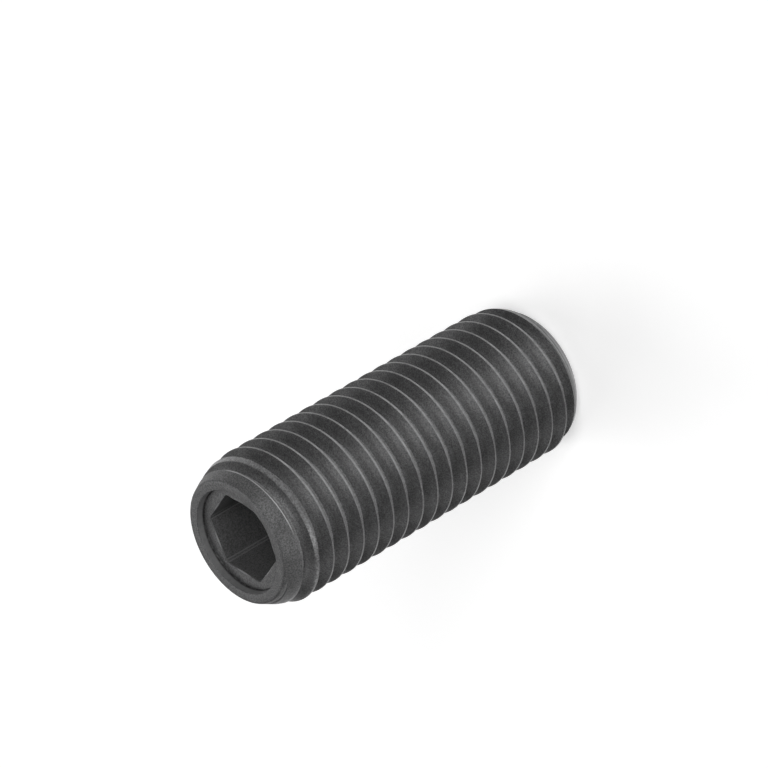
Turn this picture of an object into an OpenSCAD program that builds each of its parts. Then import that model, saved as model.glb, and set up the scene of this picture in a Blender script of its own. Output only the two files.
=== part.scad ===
// Hexagon socket grub screw with a flat point, a long coarse thread and a rolled-up lip
// round its sunken socket face. It stands on its point, with the socket upwards.
// The origin is the middle of the point's flat, and Z runs along the screw.

/* [Screw] */
// Overall length, from the flat of the point to the top of the lip
length = 40.3; // [25:0.1:80]

/* [Thread] */
// Diameter over the crests
thread_d = 15.7; // [15:0.05:20]
// Distance from one crest to the next along the screw
pitch = 2; // [1.5:0.05:2.5]
// Height above the point at which the first crest crosses the +X side
first_crest = 1.73; // [0:0.01:2.5]
// Flat sides that stand for one turn of the thread
turn_sides = 36; // [24:4:48]

/* [Point] */
// Diameter of the flat on the point
point_d = 12.7; // [10:0.1:13]
// Height of the steep bevel above the flat
point_bevel = 0.9; // [0.5:0.1:1.5]
// Height above the point at which the crests are fully formed
point_run_in = 3; // [2.5:0.1:5]

/* [Lip] */
// Outer diameter of the flat along the top of the lip
lip_d = 12.5; // [12:0.1:13]
// Radius of the rounded edges of the lip
lip_round = 0.3; // [0.1:0.05:0.4]
// Height of the lip above the sunken face
lip_h = 0.87; // [0.6:0.01:1.2]
// Diameter of the sunken face, inside the lip
face_d = 10.8; // [10.4:0.1:11.2]
// Radius of the crease that runs round the foot of the lip
crease_r = 0.1; // [0.05:0.01:0.2]
// Depth of the bevel outside the lip
lip_bevel = 1.5; // [0.7:0.1:2]
// Depth below the lip at which the crests are fully formed
lip_run_in = 4; // [3:0.1:5]

/* [Socket] */
// Key size of the socket, across its flats
socket_af = 8; // [5:0.5:8.5]
// Depth of the flats below the sunken face
socket_depth = 8; // [6:0.5:12]
// Width of the narrow flats along the corners of the socket
corner_flat = 0.3; // [0.1:0.05:0.6]
// Width of the countersink beside the middle of each flat
countersink_rim = 0.15; // [0.05:0.01:0.6]
// Angle of the countersink and of the drilled bottom
cone_angle = 120; // [90:1:140]

/* [Hidden] */

$fn = 96;

// Metric thread form: the sides of the groove meet at 60 degrees, with an eighth of the
// pitch left flat on each crest.
thread_depth = 0.6134 * pitch;
crest_flat = pitch / 8;
foot_half = crest_flat / 2 + thread_depth * tan(30);
widest_half = 0.98 * foot_half;
root_flat = pitch - 2 * foot_half;
crest_r = thread_d / 2;
root_r = crest_r - thread_depth;

// The crests start low at both ends, on the shoulder of a bevel, and rise to their full
// height over the run-in.
shoulder = 0.55 * thread_depth;
shoulder_r = crest_r - shoulder;
point_rim = [point_d / 2, 0];
point_shoulder = [shoulder_r, point_bevel];
lip_shoulder = [shoulder_r, length - lip_bevel];
lip_rim = [lip_d / 2 + 0.4 * lip_round, length];
clear_r = crest_r + thread_depth;
overshoot = 2 * pitch;

face_z = length - lip_h;
face_r = face_d / 2;
countersink_r = socket_af / 2 + countersink_rim;

// Each side of the hexagon runs this far from its middle, up to the narrow corner flat.
side_half = socket_af / 2 * tan(30) - corner_flat / 2 / cos(30);

// The point where a line from s touches the circle of radius r round c
function touch(c, r, s, side) =
    let (v = s - c, a = atan2(v.y, v.x) + side * acos(r / norm(v)))
    c + r * [cos(a), sin(a)];

// Radius at height z on the line through a and b
function across(a, b, z) = a.x + (b.x - a.x) * (z - a.y) / (b.y - a.y);

// What the ends of the threaded bar are trimmed to. It stays outside the thread up to the
// lip, which has round edges on both sides of its flat, and a crease where its inner wall
// meets the sunken face.
module outline() {
    outer_edge = [lip_d / 2, length - lip_round];
    inner_edge = [face_r + lip_round, length - lip_round];
    flare = [clear_r, length - lip_run_in];
    difference() {
        union() {
            polygon([
                [0, 0],
                [clear_r, 0],
                flare,
                touch(outer_edge, lip_round, flare, 1),
                outer_edge,
                [outer_edge.x, length],
                [inner_edge.x, length],
                inner_edge,
                [face_r, inner_edge.y],
                [face_r, face_z],
                [0, face_z]
            ]);
            for (edge = [outer_edge, inner_edge])
                translate(edge)
                    circle(r = lip_round, $fn = 32);
        }
        translate([face_r, face_z])
            circle(r = crease_r, $fn = 16);
    }
}

// How far the crest has risen from the shoulder to its full height, from 0 to 1
function risen(z) =
    let (
        from_point = (z - point_bevel) / (point_run_in - point_bevel),
        from_lip = (length - lip_bevel - z) / (lip_run_in - lip_bevel)
    )
    sin(90 * max(0, min(1, from_point, from_lip)));

// Radius that the thread reaches at height z, on the bevels and between them
function limit(z) =
    z < point_bevel ? max(root_r / 2, across(point_rim, point_shoulder, z)) :
    z > length - lip_bevel ? max(root_r / 2, across(lip_rim, lip_shoulder, z)) :
    shoulder_r + shoulder * risen(z);

// Distance from the middle of a crest at height z to its upper edge, or to its lower one
// where way is -1. A lower crest is wider, and each round brings its edge closer to where
// the flank meets the limit.
function crest_half(z, way, half = crest_flat / 2, rounds = 6) =
    rounds == 0 ? half :
    let (met = crest_flat / 2 + (crest_r - limit(z + way * half)) * tan(30))
    crest_half(z, way, min(met, widest_half), rounds - 1);

// Corners of one pitch of the thread whose crest is at height z, as radius and height
function form(z) =
    let (
        crest_start = z - crest_half(z, -1),
        crest_end = z + crest_half(z, 1),
        root_start = z + foot_half,
        root_end = root_start + root_flat
    )
    [
        [limit(crest_start), crest_start],
        [limit(crest_end), crest_end],
        [min(root_r, limit(root_start)), root_start],
        [min(root_r, limit(root_end)), root_end]
    ];

// A right-hand threaded bar that runs past both ends of the screw. The form climbs
// the bar in steps, and each turn is joined to the one below it.
module threaded_bar() {
    turns = ceil((length + 2 * overshoot) / pitch);
    steps = turns * turn_sides;
    start = first_crest - ceil((first_crest + overshoot) / pitch) * pitch;
    corners = len(form(0));
    last = corners - 1;
    rows = [
        for (i = [0 : steps]) for (c = form(start + pitch * i / turn_sides))
            let (a = 360 * i / turn_sides)
            [c.x * cos(a), c.x * sin(a), c.y]
    ];
    foot = len(rows);
    head = foot + 1;
    ends = [[0, 0, start], [0, 0, start + (turns + 1) * pitch]];

    function at(i, j) = i * corners + j;
    function quad(a, b, c, d) = [[a, b, c], [a, c, d]];
    function fan(tip, ring) =
        [for (k = [0 : len(ring) - 1]) [tip, ring[k], ring[(k + 1) % len(ring)]]];

    sides = [
        for (i = [0 : steps - 1]) for (j = [0 : last - 1])
            each quad(at(i, j), at(i, j + 1), at(i + 1, j + 1), at(i + 1, j))
    ];
    joins = [
        for (i = [0 : steps - turn_sides - 1])
            each quad(at(i, last), at(i + turn_sides, 0),
                at(i + turn_sides + 1, 0), at(i + 1, last))
    ];
    foot_ring = concat(
        [for (i = [0 : turn_sides]) at(i, 0)],
        [for (j = [last : -1 : 1]) at(0, j)]
    );
    head_ring = concat(
        [for (i = [steps : -1 : steps - turn_sides]) at(i, last)],
        [for (j = [0 : last - 1]) at(steps, j)]
    );
    polyhedron(
        points = concat(rows, ends),
        faces = concat(sides, joins, fan(foot, foot_ring), fan(head, head_ring))
    );
}

// Hexagonal socket with a countersunk mouth and the cone that its drill left
module socket() {
    rise = tan(90 - cone_angle / 2);
    floor_z = face_z - socket_depth;
    drill_r = socket_af / 2;
    translate([0, 0, floor_z])
        linear_extrude(socket_depth + lip_h)
            polygon([
                for (side = [0 : 5]) for (way = [-1, 1])
                    let (middle = 30 + 60 * side)
                    socket_af / 2 * [cos(middle), sin(middle)]
                        + way * side_half * [-sin(middle), cos(middle)]
            ]);
    rotate_extrude()
        polygon([
            [0, face_z - countersink_r * rise],
            [countersink_r, face_z],
            [countersink_r, length],
            [0, length]
        ]);
    rotate_extrude()
        polygon([
            [0, floor_z - drill_r * rise],
            [drill_r, floor_z],
            [0, floor_z + drill_r]
        ]);
}

module set_screw() {
    color("#3d3d3f")
        difference() {
            intersection() {
                rotate_extrude()
                    outline();
                threaded_bar();
            }
            socket();
        }
}

set_screw();
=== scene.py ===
import math
from types import SimpleNamespace

import bpy
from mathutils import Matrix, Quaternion, Vector


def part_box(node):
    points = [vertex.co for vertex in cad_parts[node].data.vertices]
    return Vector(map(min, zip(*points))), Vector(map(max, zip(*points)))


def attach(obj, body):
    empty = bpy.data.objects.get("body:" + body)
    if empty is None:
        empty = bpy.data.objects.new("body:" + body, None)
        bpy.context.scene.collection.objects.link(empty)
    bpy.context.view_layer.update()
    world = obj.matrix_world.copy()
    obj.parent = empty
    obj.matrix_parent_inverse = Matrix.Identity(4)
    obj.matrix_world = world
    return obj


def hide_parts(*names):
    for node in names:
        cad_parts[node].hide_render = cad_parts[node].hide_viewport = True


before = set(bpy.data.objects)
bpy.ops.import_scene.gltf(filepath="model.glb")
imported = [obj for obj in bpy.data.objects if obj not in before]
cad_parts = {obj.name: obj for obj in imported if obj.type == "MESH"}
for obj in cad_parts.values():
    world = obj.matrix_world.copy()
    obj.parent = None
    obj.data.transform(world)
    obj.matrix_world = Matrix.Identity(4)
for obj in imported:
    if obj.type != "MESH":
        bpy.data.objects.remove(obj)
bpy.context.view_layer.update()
screw_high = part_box("set_screw")[1]

MM = 0.001
COS_30 = math.cos(math.radians(30))
TAN_30 = math.tan(math.radians(30))

# Screw and thread, in metres
LENGTH = screw_high.z
CREST_R = screw_high.x
PITCH = 2 * MM
FIRST_CREST = 1.73 * MM
THREAD_DEPTH = 0.6134 * PITCH
ROOT_R = CREST_R - THREAD_DEPTH
CREST_FLAT = PITCH / 8
FLANK_RUN = THREAD_DEPTH * TAN_30
EASE = 0.05 * MM
TURN_STEPS = 144

# Ends, with the solid's bevels and lip, but a sharper inner edge. A run-in is the height or
# depth at which a straight cone from the shoulder reaches the full crest.
POINT_R = 6.35 * MM
POINT_BEVEL = 0.9 * MM
POINT_RUN_IN = 2.5 * MM
LIP_R = 6.25 * MM
LIP_ROUND = 0.3 * MM
INNER_ROUND = 0.1 * MM
LIP_BEVEL = 1.5 * MM
LIP_RUN_IN = 3.4 * MM
FACE_R = 5.4 * MM
FACE_Z = LENGTH - 0.87 * MM
CREASE_R = 0.1 * MM

# The shoulder between a bevel and its run-in, and a radius that is clear of the thread
SHOULDER_R = CREST_R - 0.55 * THREAD_DEPTH
SHOULDER_Z = LENGTH - LIP_BEVEL
CLEAR_R = CREST_R + THREAD_DEPTH

# Socket, whose countersink and drilled bottom are both cones of 120 degrees
SOCKET_AF = 8 * MM
SOCKET_DEPTH = 8 * MM
SOCKET_FLOOR_Z = FACE_Z - SOCKET_DEPTH
SOCKET_CORNER_R = SOCKET_AF / 2 / COS_30
CORNER_FLAT = 0.3 * MM
COUNTERSINK_R = SOCKET_AF / 2 + 0.15 * MM
CONE_RISE = TAN_30

# Corners closer than WELD are joined, and faces narrower than SLIVER are dissolved
WELD = 0.001 * MM
SLIVER = 0.0005 * MM
SMOOTH_ANGLE = math.radians(28)

# Height of the wide ridge below the lip's bevel, where the crest is still low
WIDE_RIDGE_Z = LENGTH - 2.9 * MM

# Where the bright edge of the last ridge is, round the screw
BURR_MIDDLE = math.radians(-49)
BURR_HALF = math.radians(48)

# Where the rubbed crests carry a painted highlight, round the screw: on the side that faces the camera
CREST_HIGHLIGHT_MIDDLE = math.radians(-62)
CREST_HIGHLIGHT_HALF = math.radians(47)

# Sizes of what mottles the finish
GRAIN = 0.14 * MM
SPECKLE = 0.2 * MM
SCUFF = 0.5 * MM
BLOTCH = 1.6 * MM
PATCH = 3.5 * MM

# Greys of the finish and of the painted light, shade and highlights, the darker one first where a part has
# two
OXIDE_GREY = 0.069
OXIDE_BLOTCH_GREYS = (0.142, 0.188)
# Painted light that lightens the thread's roots against the shade of the ridges
ROOT_PAINTED_LIGHT_GREYS = (0.11, 0.24)
# Rubbed crests, whose line also carries a painted highlight
CREST_WEAR_AND_HIGHLIGHT_GREYS = (0.21, 0.31)
WIDE_RIDGE_GREY = 0.24
BURR_GREYS = (0.2, 0.6)
# Painted light on the inner wall of the lip, and painted shade in the crease at its foot
LIP_WALL_PAINTED_LIGHT_GREYS = (0.2, 0.36)
CREASE_PAINTED_SHADE_GREYS = (0.05, 0.13)
# Painted light on the socket's sides, and a painted highlight round its mouth and along its edges
SOCKET_PAINTED_LIGHT_GREYS = (0.105, 0.215)
SOCKET_EDGE_HIGHLIGHT_GREY = 0.27
POINT_GREY = 0.25

# Camera, as the photograph shows the screw
CAMERA_PLACE = Vector((104.73, -366.01, 288.08)) * MM
CAMERA_AZIMUTH = 15.05
CAMERA_ELEVATION = 35.53
CAMERA_ROLL = -119.71
CAMERA_LENS = 224.95

# Lamps: degrees round from the camera, degrees up, and the radiance that the face shows
LAMPS = {
    "front": (20, 35, 4.2),
    "front_high": (0, 60, 2.5),
    "left_low": (-40, 10, 3.0),
    "right_low": (120, 10, 1.8),
    "back_left": (-120, 35, 0.9),
    "back_right": (160, 35, 2.3),
    "back_high": (180, 60, 2.9),
}
LAMP_DISTANCE = 0.6
LAMP_SIZE = 0.3
WORLD_LEVEL = 0.01

# White floor. To the camera it glows at the first level near the screw, up to the first reach,
# and at the second level beyond the second reach. Glossy surfaces show a level of their own.
FLOOR_SIZE = 6
FLOOR_COLOUR = 0.8
FLOOR_GLOW = (0.5, 1)
FLOOR_GLOW_REACH = (0.1, 0.5)
FLOOR_IN_GLOSS = 0.7


def deselect():
    bpy.ops.object.select_all(action="DESELECT")


def pick(piece):
    deselect()
    piece.select_set(True)
    bpy.context.view_layer.objects.active = piece


def newest():
    """The object that was just added, with its place moved into its mesh."""
    bpy.ops.object.transform_apply(location=True, rotation=True, scale=True)
    return bpy.context.object


def finish_modifiers(piece):
    pick(piece)
    for modifier in list(piece.modifiers):
        bpy.ops.object.modifier_apply(modifier=modifier.name)


def edit_all(piece, operator, **settings):
    """Runs an operator of edit mode on the whole mesh."""
    pick(piece)
    bpy.ops.object.mode_set(mode="EDIT")
    bpy.ops.mesh.select_all(action="SELECT")
    operator(**settings)
    bpy.ops.object.mode_set(mode="OBJECT")


def draw_outline(name, corners):
    """Extrudes a vertex from corner to corner, each given as a radius and a height."""
    points = [Vector((r, 0, z)) for r, z in corners]
    deselect()
    bpy.ops.mesh.primitive_plane_add(size=MM, location=points[0])
    piece = newest()
    piece.name = name

    # The small plane is merged to the one vertex that the outline starts from
    bpy.ops.object.mode_set(mode="EDIT")
    bpy.ops.mesh.select_all(action="SELECT")
    bpy.ops.mesh.merge(type="CENTER")
    for before, after in zip(points, points[1:]):
        bpy.ops.mesh.extrude_region_move(TRANSFORM_OT_translate={"value": after - before})
    bpy.ops.object.mode_set(mode="OBJECT")
    return piece


def turn_round(piece, steps, rise=0.0, turns=1):
    """Sweeps an outline round the Z axis, rising at each turn, and applies it."""
    screw = piece.modifiers.new("turn", "SCREW")
    screw.axis = "Z"
    screw.angle = math.tau
    screw.screw_offset = rise
    screw.iterations = turns
    screw.steps = steps
    screw.render_steps = steps
    screw.use_merge_vertices = True
    screw.merge_threshold = WELD
    screw.use_smooth_shade = False
    finish_modifiers(piece)
    edit_all(piece, bpy.ops.mesh.remove_doubles, threshold=WELD)


def face_outwards(piece):
    edit_all(piece, bpy.ops.mesh.normals_make_consistent, inside=False)


def cap(piece, above):
    """Draws the open border above or below the piece's middle in to one vertex on the axis."""
    pick(piece)
    corners = piece.data.vertices
    middle = sum(v.co.z for v in corners) / len(corners)
    bpy.ops.object.mode_set(mode="EDIT")
    bpy.ops.mesh.select_all(action="DESELECT")
    bpy.ops.mesh.select_non_manifold(extend=False, use_wire=False, use_boundary=True,
                                     use_multi_face=False, use_non_contiguous=False, use_verts=False)
    bpy.ops.object.mode_set(mode="OBJECT")
    for corner in corners:
        corner.select = corner.select and (corner.co.z > middle) == above
    for edge in piece.data.edges:
        edge.select = all(corners[i].select for i in edge.vertices)
    bpy.ops.object.mode_set(mode="EDIT")
    bpy.ops.mesh.extrude_region_move()
    bpy.ops.mesh.merge(type="CENTER")
    bpy.ops.object.mode_set(mode="OBJECT")


def combine(piece, tool, operation):
    """Intersects the piece with a tool, or cuts the tool out of it, and deletes the tool."""
    cut = piece.modifiers.new("cut", "BOOLEAN")
    cut.operation = operation
    cut.solver = "EXACT"
    cut.object = tool
    finish_modifiers(piece)
    bpy.data.objects.remove(tool, do_unlink=True)


def arc(centre, radius, first, last, steps):
    """Corners along an arc, with angles in degrees from the outward direction."""
    angles = [math.radians(first + (last - first) * i / steps) for i in range(steps + 1)]
    return [(centre[0] + radius * math.cos(a), centre[1] + radius * math.sin(a)) for a in angles]


def touch_angle(centre, radius, point, side):
    """Angle at which a line from the point touches the circle, in degrees."""
    run, rise = point[0] - centre[0], point[1] - centre[1]
    return math.degrees(math.atan2(rise, run) + side * math.acos(radius / math.hypot(run, rise)))


def along(a, b, r):
    """The point at radius r on the line through a and b."""
    share = (r - a[0]) / (b[0] - a[0])
    return (r, a[1] + (b[1] - a[1]) * share)


def threaded_bar():
    """A right-hand thread with eased crests and roots that runs past both ends of the screw."""
    crest = CREST_FLAT / 2
    root = crest + FLANK_RUN
    turns_below = 3
    turns_above = 2
    start = FIRST_CREST - turns_below * PITCH
    half_form = [
        (CREST_R, 0),
        (CREST_R - 0.1 * EASE, crest - EASE / 2),
        (CREST_R - 0.6 * EASE, crest),
        (CREST_R - 1.5 * EASE, crest + 0.87 * EASE),
        (ROOT_R + 2 * EASE, root - 1.16 * EASE),
        (ROOT_R + 0.6 * EASE, root + 0.4 * EASE),
    ]
    form = [*half_form, (ROOT_R, PITCH / 2), *((r, PITCH - z) for r, z in reversed(half_form))]
    bar = draw_outline("bar", [(r, start + z) for r, z in form])
    turns = math.ceil((LENGTH - start) / PITCH) + turns_above
    turn_round(bar, TURN_STEPS, PITCH, turns)
    cap(bar, above=False)
    cap(bar, above=True)
    face_outwards(bar)
    return bar


def end_form():
    """A turned solid with the bevels, the lip and the countersink, which trims the thread."""
    outer_edge = (LIP_R, LENGTH - LIP_ROUND)
    inner_edge = (FACE_R + INNER_ROUND, LENGTH - INNER_ROUND)
    point_rim = (POINT_R, 0)
    point_shoulder = (SHOULDER_R, POINT_BEVEL)
    lip_shoulder = (SHOULDER_R, SHOULDER_Z)
    bevel_top = touch_angle(outer_edge, LIP_ROUND, lip_shoulder, 1)
    corners = [
        (0, 0),
        point_rim,
        point_shoulder,
        along(point_shoulder, (CREST_R, POINT_RUN_IN), CLEAR_R),
        along(lip_shoulder, (CREST_R, LENGTH - LIP_RUN_IN), CLEAR_R),
        lip_shoulder,
        *arc(outer_edge, LIP_ROUND, bevel_top, 90, 6),
        *arc(inner_edge, INNER_ROUND, 90, 180, 6),
        *arc((FACE_R, FACE_Z), CREASE_R, 90, -180, 9),
        (COUNTERSINK_R, FACE_Z),
        (0, FACE_Z - COUNTERSINK_R * CONE_RISE),
    ]
    form = draw_outline("form", corners)
    turn_round(form, 2 * TURN_STEPS)
    face_outwards(form)
    return form


def socket_tool():
    """A hexagonal bar with a corner on the +X side and a narrow flat along each corner."""
    height = 2 * SOCKET_DEPTH
    deselect()
    bpy.ops.mesh.primitive_cylinder_add(vertices=6, radius=SOCKET_CORNER_R, depth=height,
                                        end_fill_type="NGON", rotation=(0, 0, math.radians(30)),
                                        location=(0, 0, SOCKET_FLOOR_Z + height / 2))
    tool = newest()
    bpy.ops.object.mode_set(mode="EDIT")
    bpy.ops.mesh.select_all(action="DESELECT")
    bpy.ops.object.mode_set(mode="OBJECT")
    for edge in tool.data.edges:
        a, b = (tool.data.vertices[i].co for i in edge.vertices)
        upright = abs(a.z - b.z) > height / 2
        edge.select = upright
    bpy.ops.object.mode_set(mode="EDIT")
    bpy.ops.mesh.bevel(offset=CORNER_FLAT / 2 / COS_30, segments=1, affect="EDGES")
    bpy.ops.object.mode_set(mode="OBJECT")
    return tool


def drill_tool():
    """The cone that the socket's drill left. Its rim stays just inside the socket's sides."""
    radius = 0.97 * SOCKET_AF / 2
    depth = radius * CONE_RISE
    overlap = 0.01 * MM
    deselect()
    bpy.ops.mesh.primitive_cone_add(vertices=TURN_STEPS, radius1=0, radius2=radius, depth=depth,
                                    location=(0, 0, SOCKET_FLOOR_Z - depth / 2 + overlap))
    return newest()


def screw_body():
    body = threaded_bar()
    combine(body, end_form(), "INTERSECT")
    combine(body, socket_tool(), "DIFFERENCE")
    combine(body, drill_tool(), "DIFFERENCE")
    body.name = "screw_body"
    body.data.name = "screw_body"
    edit_all(body, bpy.ops.mesh.dissolve_degenerate, threshold=SLIVER)
    bpy.ops.object.shade_smooth_by_angle(angle=SMOOTH_ANGLE)
    return body


def empty_tree(owner):
    """The node tree of a material or a world, with nothing in it."""
    owner.use_nodes = True
    owner.node_tree.nodes.clear()
    return owner.node_tree


def add_node(tree, kind, **settings):
    node = tree.nodes.new(kind)
    for name, value in settings.items():
        setattr(node, name, value)
    return node


def to_output(tree, shader, kind="ShaderNodeOutputMaterial"):
    output = add_node(tree, kind)
    tree.links.new(shader.outputs[0], output.inputs["Surface"])


def calculate(tree, operation, *values):
    """A Math node on numbers or sockets, and its result."""
    node = add_node(tree, "ShaderNodeMath", operation=operation)
    for socket, value in zip(node.inputs, values):
        if isinstance(value, (int, float)):
            socket.default_value = value
        else:
            tree.links.new(value, socket)
    return node.outputs[0]


def fade(tree, value, low, high):
    """0 below low and 1 above high, or the other way round if high is less than low."""
    node = add_node(tree, "ShaderNodeMapRange", interpolation_type="SMOOTHSTEP", clamp=True)
    tree.links.new(value, node.inputs["Value"])
    node.inputs["From Min"].default_value = min(low, high)
    node.inputs["From Max"].default_value = max(low, high)
    node.inputs["To Min"].default_value = 0 if low < high else 1
    node.inputs["To Max"].default_value = 1 if low < high else 0
    return node.outputs["Result"]


def near(tree, value, middle, core, reach):
    """1 where the value is within core of middle, and 0 where it is more than reach away."""
    away = calculate(tree, "ABSOLUTE", calculate(tree, "SUBTRACT", value, middle))
    return fade(tree, away, reach, core)


def product(tree, *masks):
    result = masks[0]
    for mask in masks[1:]:
        result = calculate(tree, "MULTIPLY", result, mask)
    return result


def noise(tree, place, size, detail, roughness=0.6):
    """Noise whose grains are about that size, in metres."""
    node = add_node(tree, "ShaderNodeTexNoise")
    node.inputs["Scale"].default_value = 1 / size
    node.inputs["Detail"].default_value = detail
    node.inputs["Roughness"].default_value = roughness
    tree.links.new(place, node.inputs["Vector"])
    return node.outputs["Fac"]


def grey(level):
    """A grey that is a little colder than neutral."""
    return (level, level, 1.01 * level)


def blend_colours(tree, share, first, second):
    node = add_node(tree, "ShaderNodeMix", data_type="RGBA")
    tree.links.new(share, node.inputs[0])
    for socket, value in ((node.inputs[6], first), (node.inputs[7], second)):
        if isinstance(value, tuple):
            socket.default_value = (*value, 1)
        else:
            tree.links.new(value, socket)
    return node.outputs[2]


def between(tree, share, greys):
    """A blend of two greys, the first where the share is 0."""
    return blend_colours(tree, share, grey(greys[0]), grey(greys[1]))


def surface_facts(tree):
    """Where a point of the surface is on the screw, and the noises and masks that layers share."""
    place = add_node(tree, "ShaderNodeTexCoord").outputs["Object"]
    axes = add_node(tree, "ShaderNodeSeparateXYZ")
    tree.links.new(place, axes.inputs[0])
    x, y, z = axes.outputs
    radius = calculate(tree, "SQRT", calculate(tree, "ADD", calculate(tree, "MULTIPLY", x, x),
                                               calculate(tree, "MULTIPLY", y, y)))
    angle = calculate(tree, "ARCTAN2", y, x)

    # Pitches above the first crest, along the thread: a whole number on each crest
    height = calculate(tree, "DIVIDE", calculate(tree, "SUBTRACT", z, FIRST_CREST), PITCH)
    pitches = calculate(tree, "SUBTRACT", height, calculate(tree, "DIVIDE", angle, math.tau))

    grain = noise(tree, place, GRAIN, 4, 0.75)
    return SimpleNamespace(
        place=place,
        z=z,
        radius=radius,
        angle=angle,
        pitches=pitches,
        off_crest=calculate(tree, "PINGPONG", pitches, 0.5),
        grain=grain,
        grains=fade(tree, grain, 0.35, 0.65),
        blotch=noise(tree, place, BLOTCH, 4),
        scuff=noise(tree, place, SCUFF, 4, 0.7),
        outside=fade(tree, radius, SHOULDER_R - 0.35 * MM, SHOULDER_R - 0.15 * MM),
        under_bevel=fade(tree, z, SHOULDER_Z, SHOULDER_Z - 0.2 * MM),
        wide_ridge=near(tree, z, WIDE_RIDGE_Z, 0.6 * MM, 1.1 * MM),
    )


def oxide_colour(tree, at):
    """Oxide, mottled by the blotches and the grain, with painted light that makes the thread's roots a
    little lighter against their shade.
    """
    patchy = calculate(tree, "MULTIPLY", calculate(tree, "ADD", at.blotch, at.scuff), 0.5)
    mottled = between(tree, fade(tree, patchy, 0.36, 0.64), OXIDE_BLOTCH_GREYS)
    oxide = blend_colours(tree, at.grains, grey(OXIDE_GREY), mottled)
    # Painted light: lighter greys in the roots, where the ridges shade them
    root = product(tree, near(tree, at.radius, ROOT_R, 0.15 * MM, 0.55 * MM), at.under_bevel)
    return blend_colours(tree, root, oxide, between(tree, at.grains, ROOT_PAINTED_LIGHT_GREYS))


def rub_and_highlight_crests(tree, at, colour):
    """Crests rubbed bright in a narrow and slightly ragged line, with a painted highlight that makes them
    brightest on the side that faces the camera.
    """
    ragged = calculate(tree, "MULTIPLY_ADD", calculate(tree, "SUBTRACT", at.scuff, 0.5), 0.05, at.off_crest)
    line = product(tree, fade(tree, ragged, 0.07, 0.035), at.outside, at.under_bevel)
    # Painted highlight: the rubbed line is strongest on the side that faces the camera and nearly gone
    # round the back
    highlight_side = near(tree, at.angle, CREST_HIGHLIGHT_MIDDLE, 0.3 * CREST_HIGHLIGHT_HALF, CREST_HIGHLIGHT_HALF)
    patches = calculate(tree, "MULTIPLY_ADD", noise(tree, at.place, PATCH, 2), 1.2, 0.2)
    worn = calculate(tree, "MULTIPLY", patches, calculate(tree, "MULTIPLY_ADD", highlight_side, 0.95, 0.05))
    fainter_on_wide = calculate(tree, "MULTIPLY_ADD", at.wide_ridge, -0.6, 1)
    rubbed = between(tree, fade(tree, at.scuff, 0.35, 0.6), CREST_WEAR_AND_HIGHLIGHT_GREYS)
    return blend_colours(tree, product(tree, line, worn, fainter_on_wide), colour, rubbed)


def speckle_wide_ridge(tree, at, colour):
    """Faint speckles over the whole top of the wide ridge below the bevel."""
    speckle = noise(tree, at.place, SPECKLE, 3, 0.7)
    speckled = product(tree, fade(tree, at.off_crest, 0.15, 0.1), fade(tree, speckle, 0.4, 0.65),
                       at.outside, at.wide_ridge)
    return blend_colours(tree, speckled, colour, grey(WIDE_RIDGE_GREY))


def brighten_burr(tree, at, colour):
    """The bright edge on one side of the screw, where the bevel cuts the lower flank of the last ridge."""
    ridge_half = calculate(tree, "MULTIPLY_ADD", calculate(tree, "SUBTRACT", CREST_R, at.radius),
                           TAN_30, CREST_FLAT / 2)
    last_crest = math.floor((LENGTH - FIRST_CREST) / PITCH)
    below_last = calculate(tree, "SUBTRACT", last_crest, at.pitches)
    off_flank = calculate(tree, "MULTIPLY_ADD", below_last, PITCH,
                          calculate(tree, "MULTIPLY", ridge_half, -1))
    bevel_slope = (SHOULDER_R - LIP_R) / LIP_BEVEL
    bevel_r = calculate(tree, "MULTIPLY_ADD", calculate(tree, "SUBTRACT", SHOULDER_Z, at.z),
                        bevel_slope, SHOULDER_R)
    off_bevel = calculate(tree, "SUBTRACT", at.radius, bevel_r)
    burr = product(tree, near(tree, off_flank, 0, 0.07 * MM, 0.14 * MM),
                   near(tree, off_bevel, 0, 0.09 * MM, 0.16 * MM),
                   near(tree, at.angle, BURR_MIDDLE, 0.6 * BURR_HALF, BURR_HALF))
    return blend_colours(tree, burr, colour, between(tree, at.scuff, BURR_GREYS))


def paint_lip_wall_light_and_crease_shade(tree, at, colour):
    """Painted light that makes the inner wall of the lip lighter, and painted shade in the crease at its
    foot.
    """
    # Painted light on the inner wall of the lip
    wall = product(tree, near(tree, at.radius, FACE_R, 0.08 * MM, 0.16 * MM),
                   fade(tree, at.z, FACE_Z + 0.1 * MM, FACE_Z + 0.3 * MM),
                   fade(tree, at.z, LENGTH - 0.3 * INNER_ROUND, LENGTH - INNER_ROUND))
    colour = blend_colours(tree, wall, colour, between(tree, at.scuff, LIP_WALL_PAINTED_LIGHT_GREYS))
    # Painted shade in the crease at the foot of the wall
    crease = product(tree, near(tree, at.radius, FACE_R, 0.1 * MM, 0.13 * MM),
                     near(tree, at.z, FACE_Z, 0.1 * MM, 0.13 * MM))
    crease_shade = between(tree, fade(tree, at.scuff, 0.4, 0.6), CREASE_PAINTED_SHADE_GREYS)
    return blend_colours(tree, crease, colour, crease_shade)


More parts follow.
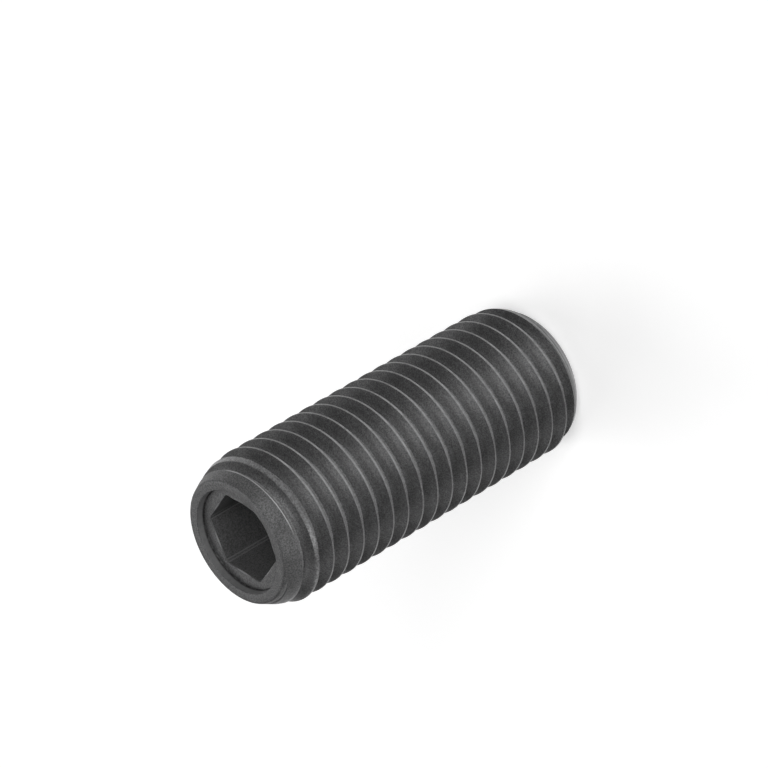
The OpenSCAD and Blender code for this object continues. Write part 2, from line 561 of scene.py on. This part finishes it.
def paint_socket_light_and_highlights(tree, at, colour):
    """The socket's sides, lightened with painted light, with a painted highlight round its mouth and along
    its edges.
    """
    inside = fade(tree, at.radius, SOCKET_CORNER_R + 0.2 * MM, SOCKET_CORNER_R + 0.1 * MM)
    below = fade(tree, at.z, FACE_Z - 0.1 * MM, FACE_Z - 0.2 * MM)
    # Painted light: the socket's sides are lighter than the oxide outside
    colour = blend_colours(tree, product(tree, inside, below), colour,
                           between(tree, at.grains, SOCKET_PAINTED_LIGHT_GREYS))
    # Painted highlights: a rim round the socket's mouth and a line along each edge of its corner flats
    rim = product(tree, inside, near(tree, at.z, FACE_Z - 0.07 * MM, 0.04 * MM, 0.07 * MM))
    in_corner = fade(tree, at.radius, SOCKET_CORNER_R - 0.3 * MM, SOCKET_CORNER_R - 0.2 * MM)
    from_corner = calculate(tree, "PINGPONG", at.angle, math.radians(30))
    aside = calculate(tree, "MULTIPLY", at.radius, calculate(tree, "SINE", from_corner))
    edge_highlight = product(tree, inside, below, in_corner,
                        near(tree, aside, CORNER_FLAT / 2, 0.03 * MM, 0.08 * MM))
    bright = calculate(tree, "MAXIMUM", rim, edge_highlight)
    return blend_colours(tree, bright, colour, grey(SOCKET_EDGE_HIGHLIGHT_GREY))


def rub_point(tree, at, colour):
    """The worn bevel of the point, with an uneven upper border."""
    uneven = calculate(tree, "MULTIPLY_ADD", at.blotch, 0.8 * MM, at.z)
    bevel = product(tree, fade(tree, uneven, 1.7 * POINT_BEVEL, 1.5 * POINT_BEVEL),
                    fade(tree, at.radius, POINT_R - 0.1 * MM, POINT_R))
    return blend_colours(tree, bevel, colour, grey(POINT_GREY))


def black_oxide_steel():
    """Dull black oxide with a fine grain, rubbed to lighter metal along the crests and edges, with painted
    light in the roots, on the lip's wall and in the socket, painted shade in the lip's crease, and painted
    highlights on the crests and round the socket.
    """
    material = bpy.data.materials.new("black_oxide_steel")
    tree = empty_tree(material)
    at = surface_facts(tree)
    colour = oxide_colour(tree, at)
    for layer in (rub_and_highlight_crests, speckle_wide_ridge, brighten_burr, paint_lip_wall_light_and_crease_shade, paint_socket_light_and_highlights, rub_point):
        colour = layer(tree, at, colour)

    shader = add_node(tree, "ShaderNodeBsdfPrincipled")
    tree.links.new(colour, shader.inputs["Base Color"])
    shader.inputs["Metallic"].default_value = 0.5
    shader.inputs["Specular IOR Level"].default_value = 0.15

    # The lip end is duller than the thread
    end_dulls = calculate(tree, "MULTIPLY_ADD", at.under_bevel, -0.15, 0.47)
    dull = calculate(tree, "MULTIPLY_ADD", at.blotch, 0.1, end_dulls)
    tree.links.new(dull, shader.inputs["Roughness"])

    bump = add_node(tree, "ShaderNodeBump")
    bump.inputs["Strength"].default_value = 0.4
    bump.inputs["Distance"].default_value = 0.02 * MM
    tree.links.new(calculate(tree, "ADD", at.grain, at.scuff), bump.inputs["Height"])
    tree.links.new(bump.outputs[0], shader.inputs["Normal"])
    to_output(tree, shader)
    return material


def seen_directly_or_in_gloss(tree, directly, in_gloss):
    """directly for camera and transmission rays, in_gloss for glossy ones, and 0 for all others."""
    path = add_node(tree, "ShaderNodeLightPath")
    gloss = calculate(tree, "MULTIPLY", path.outputs["Is Glossy Ray"], in_gloss)
    either = calculate(tree, "MAXIMUM", path.outputs["Is Camera Ray"], path.outputs["Is Transmission Ray"])
    return calculate(tree, "MAXIMUM", calculate(tree, "MULTIPLY", either, directly), gloss)


def floor():
    """A white floor that keeps a soft shadow beside the screw, and is plain white further away."""
    deselect()
    bpy.ops.mesh.primitive_plane_add(size=FLOOR_SIZE, location=(0, 0, 0))
    ground = bpy.context.object
    ground.name = "floor"
    material = bpy.data.materials.new("white_floor")
    tree = empty_tree(material)
    diffuse = add_node(tree, "ShaderNodeBsdfDiffuse")
    diffuse.inputs["Color"].default_value = (FLOOR_COLOUR, FLOOR_COLOUR, FLOOR_COLOUR, 1)
    away = add_node(tree, "ShaderNodeVectorMath", operation="LENGTH")
    tree.links.new(add_node(tree, "ShaderNodeTexCoord").outputs["Object"], away.inputs[0])
    far = fade(tree, away.outputs["Value"], *FLOOR_GLOW_REACH)
    beside, beyond = FLOOR_GLOW
    directly = calculate(tree, "MULTIPLY_ADD", far, beyond - beside, beside)
    glow = add_node(tree, "ShaderNodeEmission")
    tree.links.new(seen_directly_or_in_gloss(tree, directly, FLOOR_IN_GLOSS), glow.inputs["Strength"])
    both = add_node(tree, "ShaderNodeAddShader")
    tree.links.new(diffuse.outputs[0], both.inputs[0])
    tree.links.new(glow.outputs[0], both.inputs[1])
    to_output(tree, both)
    ground.data.materials.append(material)


def world_light(level):
    """Even light from all round, and a pale grey where the camera looks past the floor."""
    world = bpy.data.worlds.new("studio")
    bpy.context.scene.world = world
    tree = empty_tree(world)
    path = add_node(tree, "ShaderNodeLightPath")
    background = add_node(tree, "ShaderNodeBackground")
    strength = calculate(tree, "MAXIMUM", path.outputs["Is Camera Ray"], level)
    tree.links.new(strength, background.inputs["Strength"])
    to_output(tree, background, "ShaderNodeOutputWorld")


def direction(azimuth, elevation):
    """From the screw towards a place at those angles, in degrees. Azimuth 0 is on the -Y side."""
    a, e = math.radians(azimuth), math.radians(elevation)
    return Vector((math.sin(a) * math.cos(e), -math.cos(a) * math.cos(e), math.sin(e)))


def set_up(thing, place, turn):
    """Puts a lamp or the camera in the scene, turned by a quaternion."""
    thing.location = place
    thing.rotation_mode = "QUATERNION"
    thing.rotation_quaternion = turn
    bpy.context.scene.collection.objects.link(thing)


def soft_box(name, azimuth, elevation, level):
    """A square lamp that faces the screw."""
    data = bpy.data.lights.new(name, "AREA")
    data.shape = "SQUARE"
    data.size = LAMP_SIZE
    data.energy = level * math.pi * LAMP_SIZE * LAMP_SIZE
    back = direction(azimuth, elevation)
    place = Vector((0, 0, LENGTH / 2)) + back * LAMP_DISTANCE
    set_up(bpy.data.objects.new(name, data), place, (-back).to_track_quat("-Z", "Y"))


def camera():
    """The photograph's view: above the socket end, and rolled so that the screw lies across."""
    data = bpy.data.cameras.new("camera")
    data.lens = CAMERA_LENS
    data.sensor_width = 36
    data.clip_start = 0.01
    data.clip_end = 10
    back = direction(CAMERA_AZIMUTH, CAMERA_ELEVATION)
    roll = Quaternion((0, 0, 1), math.radians(CAMERA_ROLL))
    view = bpy.data.objects.new("camera", data)
    set_up(view, CAMERA_PLACE, (-back).to_track_quat("-Z", "Y") @ roll)
    bpy.context.scene.camera = view


camera()
floor()
world_light(WORLD_LEVEL)
for name, (azimuth, elevation, level) in LAMPS.items():
    soft_box(name, CAMERA_AZIMUTH + azimuth, elevation, level)

body = screw_body()
body.data.materials.clear()
body.data.materials.append(black_oxide_steel())
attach(body, "root")
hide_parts("set_screw")

bpy.context.scene.view_settings.view_transform = "Standard"
